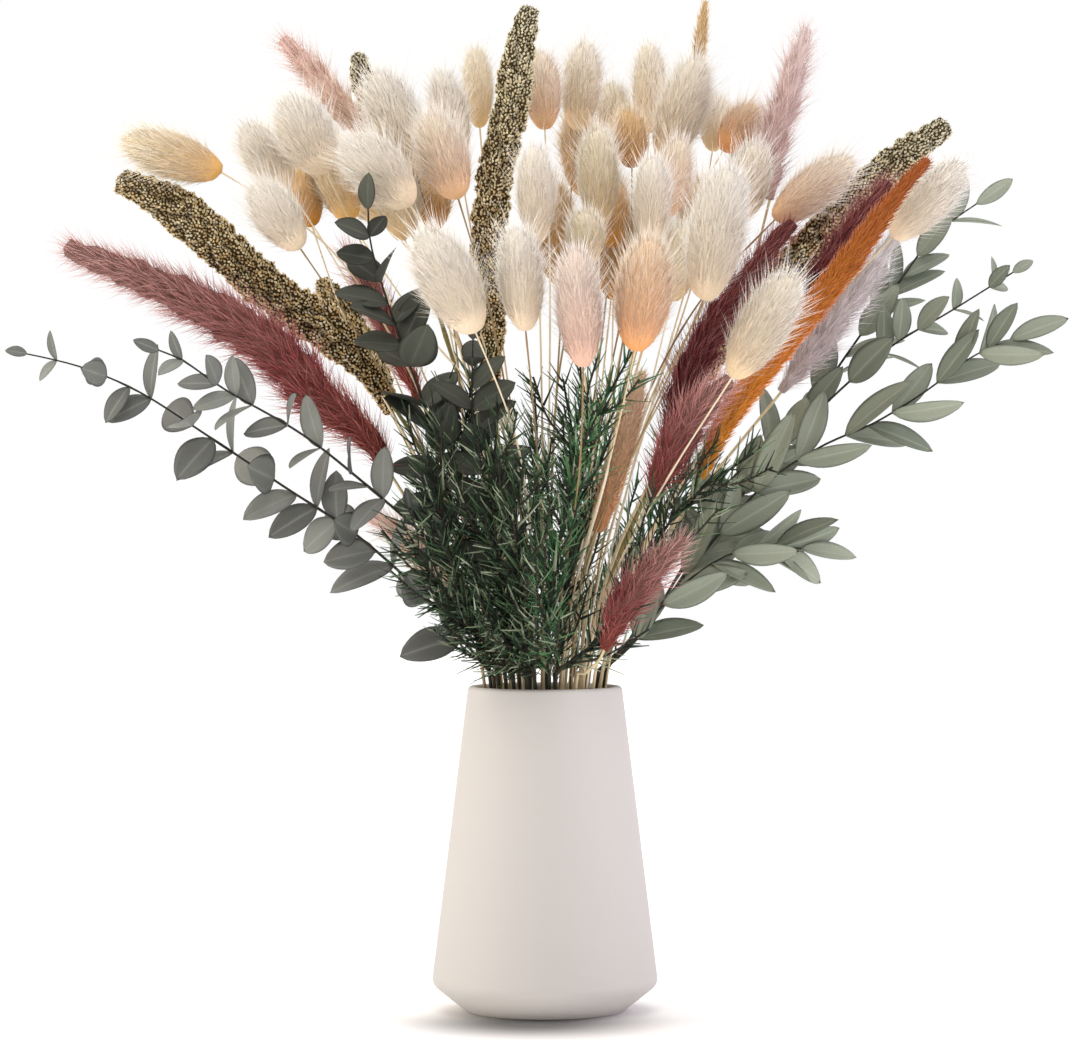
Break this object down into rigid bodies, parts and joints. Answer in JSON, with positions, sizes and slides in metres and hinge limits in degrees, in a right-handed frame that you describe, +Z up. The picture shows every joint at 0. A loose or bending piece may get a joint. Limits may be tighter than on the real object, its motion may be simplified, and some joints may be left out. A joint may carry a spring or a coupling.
{
  "type": "vase of dried grasses",
  "caption": "Dried bunny tails, reed plumes, millet, foxtails, eucalyptus and needle foliage fanned out of a matt white vase that widens to a rounded shoulder above a flat foot.",
  "frame": {"origin": "centre of the vase's flat foot, on the surface that it stands on", "axes": "+Z up, +X to the right and -Y towards the viewer, with the bouquet's wide fan facing -Y"},
  "size_m": [0.5839, 0.2919, 0.5733],
  "materials": {
    "ceramic": "matte",
    "honey": "matte",
    "cream": "matte",
    "peach": "matte",
    "straw": "matte",
    "beige": "matte",
    "rose": "matte",
    "apricot": "matte",
    "grain": "matte",
    "rosewood": "matte",
    "blush": "matte",
    "mauve": "matte",
    "burgundy": "matte",
    "pearl": "matte",
    "orange": "matte",
    "eucalyptus": "matte",
    "needles": "satin"
  },
  "bodies": {
    "root": {"bunny_tail_01": "honey", "bunny_tail_02": "cream", "bunny_tail_03": "cream", "bunny_tail_04": "cream", "bunny_tail_06": "cream", "bunny_tail_07": "cream", "bunny_tail_08": "cream", "bunny_tail_09": "peach", "bunny_tail_10": "straw", "bunny_tail_11": "cream", "bunny_tail_12": "cream", "bunny_tail_13": "cream", "bunny_tail_14": "peach", "bunny_tail_15": "beige", "bunny_tail_16": "beige", "bunny_tail_17": "straw", "bunny_tail_18": "rose", "bunny_tail_19": "apricot", "bunny_tail_20": "beige", "bunny_tail_21": "beige", "bunny_tail_22": "peach", "bunny_tail_23": "cream", "bunny_tail_24": "cream", "bunny_tail_25": "apricot", "bunny_tail_26": "beige", "bunny_tail_27": "peach", "bunny_tail_28": "cream", "bunny_tail_29": "beige", "bunny_tail_35": "straw", "eucalyptus_1": "eucalyptus", "eucalyptus_2": "eucalyptus", "eucalyptus_3": "eucalyptus", "eucalyptus_4": "eucalyptus", "eucalyptus_5": "eucalyptus", "eucalyptus_6": "eucalyptus", "eucalyptus_7": "eucalyptus", "foxtail_1": "orange", "foxtail_2": "orange", "foxtail_3": "orange", "millet_1": "grain", "millet_2": "grain", "millet_3": "grain", "millet_4": "grain", "millet_5": "grain", "needle_foliage_1": "needles", "needle_foliage_3": "needles", "needle_foliage_5": "needles", "needle_foliage_7": "needles", "needle_foliage_9": "needles", "reed_plume_1": "rosewood", "reed_plume_10": "rosewood", "reed_plume_2": "blush", "reed_plume_3": "mauve", "reed_plume_4": "burgundy", "reed_plume_5": "rosewood", "reed_plume_6": "rosewood", "reed_plume_7": "burgundy", "reed_plume_8": "pearl", "reed_plume_9": "blush", "vase": "ceramic"}
  },
  "joints": []
}
